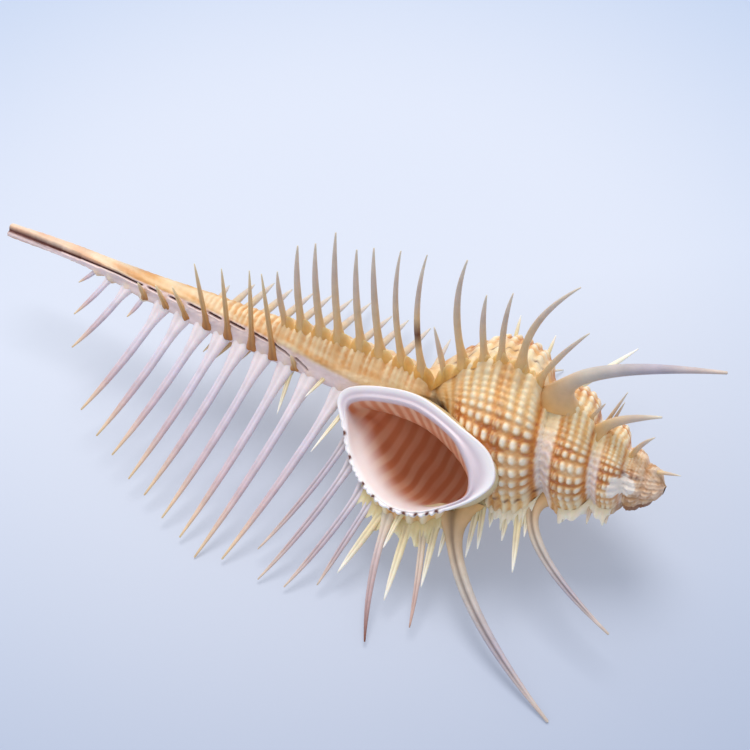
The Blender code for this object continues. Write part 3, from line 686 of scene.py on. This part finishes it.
def mouth_outlines(places):
    """Outlines from the root under the rim, over the toothed lip and down the hollow."""
    rim = closed_curve(MOUTH_RIM, places)
    inner = closed_curve(MOUTH_INNER, places)
    outer_lip = ramp(places, 1.4, 2.2) * (1 - ramp(places, 7.9, 8.8))
    uneven = 0.3 * np.sin(places * 2.3) + 0.2 * np.sin(places * 5.1)
    scallop = np.abs(np.sin((places / DENTICLE_STEP + uneven) * math.pi)) ** 0.7
    notch = sum(bump(places, dot, 0.06) for dot in RIM_DOTS)
    frill = outer_lip * (0.35 * scallop - 0.2 * np.clip(notch, 0, 1) - 0.1)
    centre = rim.mean(axis=0)
    outward = rim - inner
    outward /= np.linalg.norm(outward, axis=1)[:, None]
    edge = rim + outward * frill[:, None]
    undercut = (1 - np.clip(outer_lip, 0, 1))[:, None]
    root = centre + (rim - centre) * (0.8 + 0.18 * undercut)
    wall = centre + (rim - centre) * (0.95 + 0.05 * undercut)
    keys = [mouth_points(root, 7.0), mouth_points(wall, 3.0),
            mouth_points(rim - outward * 0.25, 1.5), mouth_points(edge - outward * 0.04, 0.55),
            mouth_points(edge - outward * 0.1, 0.1), mouth_points(edge - outward * 0.4, 0.0),
            mouth_points(rim * 0.45 + inner * 0.55, 0.3), mouth_points(inner, 0.8)]
    station, reach = closed_curve(TUNNEL_SECTION, places).T
    lip = whorl_size(0.0)
    for growth in TUNNEL_GROWTH:
        here = whorl_size(growth / 360.0)
        keys.append(place(here[0] + (station - lip[0]) * here[2] / lip[2],
                          LIP_AZIMUTH + growth, reach * here[1] / lip[1]))
    return keys


def mouth_rings(keys):
    """Rings of points on a smooth course through the outlines, with their depth in outlines."""
    rings, depth = [], []
    for k, count in enumerate(MOUTH_STEPS):
        before, after = keys[max(k - 1, 0)], keys[min(k + 2, len(keys) - 1)]
        for step in range(count):
            rings.append(catmull(before, keys[k], keys[k + 1], after, step / count))
            depth.append(k + step / count)
    rings.append(keys[-1])
    depth.append(len(keys) - 1.0)
    return np.array(rings), depth


def mouth_colour(points, depth, around):
    """White rim with a lilac inner side and dark dots, and a brown hollow with pale stripes."""
    lip_side = ramp(around, 1.2, 2.6) * (1 - ramp(around, 7.6, 9.2))
    inside = ramp(depth, 6.95, 7.1)
    fade = inside * ramp(depth, 7.0 + 0.3 * lip_side, 7.12 + 1.2 * lip_side)
    sway = 0.25 * wobble(points, 9.0, 31)
    stripe = 0.5 + 0.5 * np.sin((-points[:, 0] + sway) * 2 * math.pi / STRIPE_PITCH)
    stripe = ramp(stripe, 0.15, 0.85) * (0.75 + 0.25 * wobble(points, 6.0, 32))
    well = mixed(WELL, WELL_PALE, np.clip(stripe, 0, 1) * 0.8 * (1 - ramp(depth, 9.6, 12.8)))
    well = mixed(well, WELL_DEEP, ramp(depth, 8.0, 10.0) * 0.45)
    blush = mixed(PORCELAIN, BLUSH, inside * lip_side * 0.25)
    callus = mixed(blush, CALLUS, (1 - lip_side) * ramp(depth, 5.2, 6.0) * 0.85)
    colour = mixed(callus, well, fade)
    colour = mixed(colour, RIM_UNDERSIDE, (1 - ramp(depth, 1.6, 2.9)) * 0.9)
    spots = np.zeros(len(points))
    for dot in RIM_DOTS:
        spots = np.maximum(spots, bump(around, dot, 0.08) * bump(depth, 4.8, 1.1))
    return mixed(colour, SPOT, np.clip(spots * 1.6, 0, 1))


def build_mouth():
    places = np.linspace(0.0, len(MOUTH_RIM), RIM_SIDES, endpoint=False)
    rings, depth = mouth_rings(mouth_outlines(places))
    points = rings.reshape(-1, 3)
    faces = grid_faces(len(rings), RIM_SIDES)
    depth, around = (grid.ravel() for grid in np.meshgrid(depth, places, indexing="ij"))
    material = shell_look("porcelain", 0.32, 180.0, 0.04, 700.0, 0.00006, 0.2)
    return make_piece("mouth", points, faces, material, mouth_colour(points, depth, around))


# Spines

SPINE_SIDES = 18
SPINE_STEPS = 26
# How far the base of a spine widens, and the girth from which it is a stout one
FLARE = 0.4
STOUT_FLARE = 1.3
STOUT_GIRTH = 1.45


def spine_course(base, tip, girth, bow=0.0):
    """Centre line of a spine with its thickness; it bows toward the canal's tip by `bow`."""
    step = np.linspace(0.0, 1.0, SPINE_STEPS) ** 1.35
    course = base + (tip - base) * step[:, None]
    course[:, 0] -= 4.0 * bow * step * (1.0 - step)
    return course, girth * smooth_curve(TAPER, step)


def rooted_spine(azimuths, base_station, tip_station, reach, girth, bow):
    root = float(shell_radius(base_station, azimuths[0])) - ROOT_DEPTH
    return spine_course(place(base_station, azimuths[0], root),
                        place(tip_station, azimuths[1], reach), girth, bow)


def comb_row(comb, bow):
    return [(base, tip, reach, COMB_GIRTH * min(1.0, 0.45 + reach / 40.0),
             bow * min(1.0, reach / 20.0)) for base, tip, reach in comb]


LAVENDER = (linear(240, 228, 230), linear(212, 204, 218), linear(204, 182, 188),
            linear(226, 196, 154))
GROOVED = (linear(226, 218, 222), linear(200, 192, 206), linear(196, 178, 184),
           linear(214, 192, 172))
GOLDEN = (linear(226, 180, 112), linear(216, 188, 148), linear(206, 188, 172),
          linear(220, 208, 190))
OCHRE = (linear(182, 116, 54), linear(206, 164, 104), linear(218, 188, 142),
         linear(230, 212, 178))
LEMON = (linear(228, 206, 156), linear(236, 220, 180), linear(243, 231, 204),
         linear(248, 244, 236))
SHOULDER = (linear(226, 178, 112), linear(200, 190, 178), linear(176, 168, 180),
            linear(204, 188, 176))
FADED = (linear(226, 208, 162), linear(226, 208, 190), linear(206, 180, 174),
         linear(186, 150, 136))
SPOTTED = (GOLDEN[0], GOLDEN[1], GOLDEN[1], linear(96, 50, 34), GOLDEN[1], GOLDEN[2],
           GOLDEN[2], GOLDEN[3], GOLDEN[3])
BROWN_TIP = (linear(230, 214, 186), linear(208, 190, 190), linear(188, 162, 164),
             linear(120, 66, 40))


def all_spines():
    """Every spine: its course and thickness, the azimuth it stands at and its palette."""
    dorsal = LIP_AZIMUTH + VARIX_STEP
    left = LIP_AZIMUTH + 2 * VARIX_STEP
    spines = []

    # `groove` sets both the depth of a spine's groove and its painted shade
    def add(azimuth, row, palette, slim=1.0, groove=0.3):
        for spine in row:
            course, girth = rooted_spine((azimuth, azimuth), *spine)
            spines.append((course, girth * slim, azimuth, palette, groove))

    add(LIP_AZIMUTH, comb_row(LAST_COMB, COMB_BOW), LAVENDER, 1.0, 0.15)
    add(LIP_AZIMUTH, LAST_ROW[:4], GROOVED, 0.95, 0.5)
    add(LIP_AZIMUTH, LAST_ROW[4:6] + LAST_ROW[7:], LEMON, 1.3, 0.3)
    add(LIP_AZIMUTH, LAST_ROW[6:7], FADED, 1.0, 0.35)
    add(LIP_AZIMUTH, (LAST_SHOULDER,), SHOULDER, 1.0, 0.6)
    add(LIP_AZIMUTH, BEFORE_ROW[:4], LEMON, 1.3)
    add(LIP_AZIMUTH, BEFORE_ROW[4:], SHOULDER, 1.0, 0.6)
    add(dorsal, comb_row(DORSAL_COMB, 0.0), GOLDEN, 0.9)
    add(dorsal, DORSAL_ROW, GOLDEN, 0.9)
    add(left, comb_row(LEFT_COMB, LEFT_COMB_BOW), GOLDEN, 0.82)
    add(left, LEFT_ROW[:1] + LEFT_ROW[2:-1], GOLDEN, 0.82)
    add(left, LEFT_ROW[1:2], SPOTTED, 0.82)
    add(left, LEFT_ROW[-1:], SHOULDER)
    for azimuth, row in EARLY_ROWS:
        add(azimuth, row, GOLDEN)
    for number, spine in enumerate(LOOSE_SPINES):
        course, girth = rooted_spine(spine[:2], *spine[2:])
        spines.append((course, girth, spine[0], LEMON if number else BROWN_TIP, 0.3))
    for azimuth, seconds in ((LIP_AZIMUTH, LAST_SECONDS), (dorsal, DORSAL_SECONDS)):
        for base, tip, tip_azimuth, reach in seconds:
            aside = azimuth - math.copysign(SECOND_OFFSET, azimuth - tip_azimuth)
            root = float(shell_radius(base, aside)) - 0.3
            course, girth = spine_course(place(base, aside, root),
                                         place(tip, tip_azimuth, reach), SECOND_GIRTH)
            spines.append((course, girth * 1.3, azimuth, OCHRE, 0.2))
    return spines


def spine_mesh(course, girth, azimuth, palette, groove_depth_and_shade):
    """Tube with a groove down the side that faced the mouth when the spine grew, with painted shade
    in the groove.
    """
    ahead = np.gradient(course, axis=0)
    ahead /= np.linalg.norm(ahead, axis=1)[:, None]
    angle = math.radians(azimuth)
    younger = np.array((0.0, math.sin(angle), -math.cos(angle)))
    front = younger - ahead * (ahead @ younger)[:, None]
    front /= np.linalg.norm(front, axis=1)[:, None]
    side = np.cross(ahead, front)
    travelled = np.concatenate(((0.0,), np.cumsum(np.linalg.norm(np.diff(course, axis=0), axis=1))))
    share = travelled / travelled[-1]
    turn = np.arange(SPINE_SIDES) / SPINE_SIDES * 2 * math.pi
    turn = turn - 0.27 * np.sin(turn)
    off_front = (turn + math.pi) % (2 * math.pi) - math.pi
    groove = bump(off_front, 0.15, 0.33)
    spread = STOUT_FLARE if girth[0] > STOUT_GIRTH else FLARE
    flare = 1 + spread * bump(travelled, 0.0, 0.12 * travelled[-1])
    depth = (0.15 + 0.5 * groove_depth_and_shade) * (1 - ramp(share, 0.75, 1.0))
    radius = girth[:, None] * (1 - depth[:, None] * groove[None, :])
    points = (course[:, None, :] + front[:, None, :] * (radius * np.cos(turn))[..., None]
              + side[:, None, :] * (radius * flare[:, None] * np.sin(turn))[..., None])
    along, around = np.meshgrid(share, groove, indexing="ij")
    stops = np.array(palette)
    position = along * (len(stops) - 1)
    index = np.clip(position.astype(int), 0, len(stops) - 2)
    colour = mixed(stops[index], stops[index + 1], position - index)
    # Painted shade in the groove, fading out toward the tip
    colour = mixed(colour, GROOVE_SHADE, around * groove_depth_and_shade * (1 - ramp(along, 0.7, 0.95)))
    tip = np.repeat(course[-1:] + (course[-1:] - course[-2:-1]) * 0.05, SPINE_SIDES, axis=0)
    tip_colour = np.repeat(colour[-1, :1], SPINE_SIDES, axis=0)
    return np.concatenate((points, tip[None])), np.concatenate((colour, tip_colour[None]))


def build_spines():
    material = shell_look("spines", 0.42, 420.0, 0.08, 1200.0, 0.0001, 0.25)
    return make_joined("spines", [spine_mesh(*spine) for spine in all_spines()], material)


# Fluted sheets between the spines

WEB_SIDES = 17
WEB_WIDTH = 1.1
WEB_STEP = 0.11
WEB_PAST_ROW = 1.2
OLIVE = (linear(214, 190, 132), linear(228, 210, 162), linear(238, 228, 196))
CREAMY = (linear(232, 214, 178), linear(240, 230, 210), linear(240, 234, 222))
AMBER = (linear(218, 156, 78), linear(228, 182, 108), linear(236, 208, 156))


def web_mesh(azimuth, row, low, high, palette, ragged, seed):
    """Fluted sheet that joins the bases of a row of spines."""
    spines = sorted(row)
    bases = np.array([spine[0] for spine in spines])
    leans = np.array([(spine[1] - spine[0]) / spine[2] * 1.3 for spine in spines])
    first, last = bases[0] - WEB_PAST_ROW, bases[-1] + WEB_PAST_ROW
    station = np.arange(first, last, WEB_STEP)
    phase = np.interp(station, bases, np.arange(len(bases)))
    at_spine = sum(bump(station, base, 0.7) for base in bases)
    random = np.random.default_rng(seed)
    uneven = np.interp(phase, np.arange(len(bases)), random.uniform(0.75, 1.25, len(bases)))
    ends = ramp(station, first, bases[0]) * (1 - ramp(station, bases[-1], last))
    teeth = 1 - ragged * (1 - np.abs(np.sin(2.0 * math.pi * phase + seed)) ** 1.2)
    tall = (low + (high - low) * np.minimum(at_spine, 1.0)) * uneven * ends * teeth
    lean = np.interp(station, bases, leans)
    across = np.linspace(-1.0, 1.0, WEB_SIDES)
    rise = 1 - across ** 2
    height = tall[:, None] * rise
    side = WEB_WIDTH * across * (0.35 + 0.65 * np.abs(across))
    flute = 0.35 * np.cos(2 * math.pi * phase) + 0.12 * np.cos(6 * math.pi * phase + seed)
    side = side + flute[:, None] * rise
    stations = station[:, None] + lean[:, None] * height
    reach = shell_radius(station, azimuth)[:, None] - 0.6 + height
    points = place(stations, azimuth + np.degrees(side / reach), reach)
    share = np.broadcast_to(rise, height.shape)
    colour = mixed(palette[0], palette[1], ramp(share, 0.0, 0.6))
    colour = mixed(colour, palette[2], ramp(share, 0.6, 1.0))
    ridge = np.broadcast_to(np.cos(4 * math.pi * phase + 1.0)[:, None], height.shape)
    return points, mixed(colour, palette[0], 0.35 * (0.5 + 0.5 * ridge))


def build_webs():
    material = shell_look("webs", 0.4, 500.0, 0.1, 1500.0, 0.0001, 0.3)
    left = LIP_AZIMUTH + 2 * VARIX_STEP
    webs = ((LIP_AZIMUTH, LAST_ROW[2:] + (LAST_SHOULDER[:3],), 2.6, 4.2, OLIVE, 0.15),
            (LIP_AZIMUTH, BEFORE_ROW[:-1] + ((18.2, 17.0, 25.5),), 1.8, 3.0, CREAMY, 0.35),
            (left, LEFT_ROW[:-1], 1.3, 2.6, AMBER, 0.6),
            (left, LEFT_COMB + LEFT_ROW[:4], 2.6, 4.6, AMBER, 0.6),
            (LIP_AZIMUTH + VARIX_STEP, DORSAL_COMB, 1.2, 2.6, AMBER, 0.5),
            (EARLY_ROWS[2][0], EARLY_ROWS[2][1], 1.6, 2.2, CREAMY, 0.25))
    grids = [web_mesh(*web, seed) for seed, web in enumerate(webs)]
    return make_joined("webs", grids, material, closed=False)


# Floor, light and camera

FLOOR_HALF = 3.0
FLOOR_GAP = 0.0001
# Painted shade on the floor: it is dimmer toward the viewer, measured along a line in plan, and
# darker and bluer far out
FLOOR_NEAR_SHADE = linear(185, 193, 214)
FLOOR_FAR = linear(221, 229, 246)
FLOOR_LINE = (-0.6, 0.76, 0.0)
FLOOR_LINE_ENDS = (-0.1, 0.03)
FLOOR_MIDDLE = (-0.015, 0.03, 0.0)
FLOOR_FADE = (0.05, 0.16)
FLOOR_EDGE_SHADE = (0.7, 0.79, 0.9)
# Painted light: the floor's diffuse colour is halved and the floor glows, which lifts the shade on
# it and lights the shell from below
FLOOR_DIFFUSE = 0.5
FLOOR_PAINTED_GLOW = 0.36


def floor_look():
    material = bpy.data.materials.new("floor")
    material.use_nodes = True
    nodes, links = material.node_tree.nodes, material.node_tree.links
    surface = nodes["Principled BSDF"]
    surface.inputs["Roughness"].default_value = 0.6
    # Painted light: the floor glows
    surface.inputs["Emission Strength"].default_value = FLOOR_PAINTED_GLOW
    where = nodes.new("ShaderNodeTexCoord")

    def vector_math(operation, source, value=None):
        node = nodes.new("ShaderNodeVectorMath")
        node.operation = operation
        links.new(source, node.inputs[0])
        if value is not None:
            node.inputs[1].default_value = value
        return node

    def faded(source, ends, first, last):
        """Colour that runs from `first` to `last` while `source` runs between `ends`."""
        share = nodes.new("ShaderNodeMapRange")
        share.inputs["From Min"].default_value, share.inputs["From Max"].default_value = ends
        links.new(source, share.inputs["Value"])
        shade = nodes.new("ShaderNodeValToRGB")
        shade.color_ramp.elements[0].color = (*first, 1.0)
        shade.color_ramp.elements[1].color = (*last, 1.0)
        links.new(share.outputs["Result"], shade.inputs["Fac"])
        return share, shade.outputs["Color"]

    # Painted shade: one ramp dims the floor toward the viewer, a second darkens and blues it far
    # from its middle
    away = vector_math("DOT_PRODUCT", where.outputs["Object"], FLOOR_LINE)
    reach = vector_math("DISTANCE", where.outputs["Object"], FLOOR_MIDDLE)
    _, shade = faded(away.outputs["Value"], FLOOR_LINE_ENDS, FLOOR_NEAR_SHADE, FLOOR_FAR)
    share, tint = faded(reach.outputs["Value"], FLOOR_FADE, (1.0, 1.0, 1.0), FLOOR_EDGE_SHADE)
    share.interpolation_type = "SMOOTHSTEP"
    tone = vector_math("MULTIPLY", shade)
    links.new(tint, tone.inputs[1])
    # Painted light: half the colour as diffuse, the full colour as glow
    dimmed = vector_math("SCALE", tone.outputs["Vector"])
    dimmed.inputs["Scale"].default_value = FLOOR_DIFFUSE
    links.new(dimmed.outputs["Vector"], surface.inputs["Base Color"])
    links.new(tone.outputs["Vector"], surface.inputs["Emission Color"])
    return material


def build_floor():
    corners = [(x * FLOOR_HALF, y * FLOOR_HALF, 0)
               for x, y in ((-1, -1), (1, -1), (1, 1), (-1, 1))]
    mesh = bpy.data.meshes.new("floor")
    mesh.from_pydata(corners, [], [(0, 1, 2, 3)])
    floor = bpy.data.objects.new("floor", mesh)
    floor.location.z = -FLOOR_GAP
    bpy.context.scene.collection.objects.link(floor)
    floor.data.materials.append(floor_look())


def add_light(name, place_at, size, power, colour):
    light = bpy.data.lights.new(name, "AREA")
    light.shape = "DISK"
    light.size = size
    light.energy = power
    light.color = colour
    holder = bpy.data.objects.new(name, light)
    holder.location = place_at
    holder.rotation_euler = (-Vector(place_at)).to_track_quat("-Z", "Y").to_euler()
    bpy.context.scene.collection.objects.link(holder)


def build_light():
    world = bpy.data.worlds.new("studio")
    world.use_nodes = True
    sky = world.node_tree.nodes["Background"]
    sky.inputs["Color"].default_value = (0.93, 0.95, 1.0, 1.0)
    sky.inputs["Strength"].default_value = 0.72
    bpy.context.scene.world = world
    bpy.context.scene.view_settings.view_transform = "Standard"
    add_light("key", (-0.2, 0.36, 1.3), 0.8, 12.5, (1.0, 0.97, 0.94))
    add_light("fill", (-0.5, -0.8, 0.9), 1.0, 1.0, (0.93, 0.96, 1.0))


def build_camera():
    camera = bpy.data.cameras.new("camera")
    camera.lens = CAMERA_LENS
    camera.sensor_width = SENSOR
    camera.clip_start = 0.01
    holder = bpy.data.objects.new("camera", camera)
    holder.location = CAMERA_PLACE
    holder.rotation_euler = Euler([math.radians(angle) for angle in CAMERA_TURN])
    bpy.context.scene.collection.objects.link(holder)
    bpy.context.scene.camera = holder


build_skin()
build_mouth()
build_spines()
build_webs()
build_floor()
build_light()
build_camera()
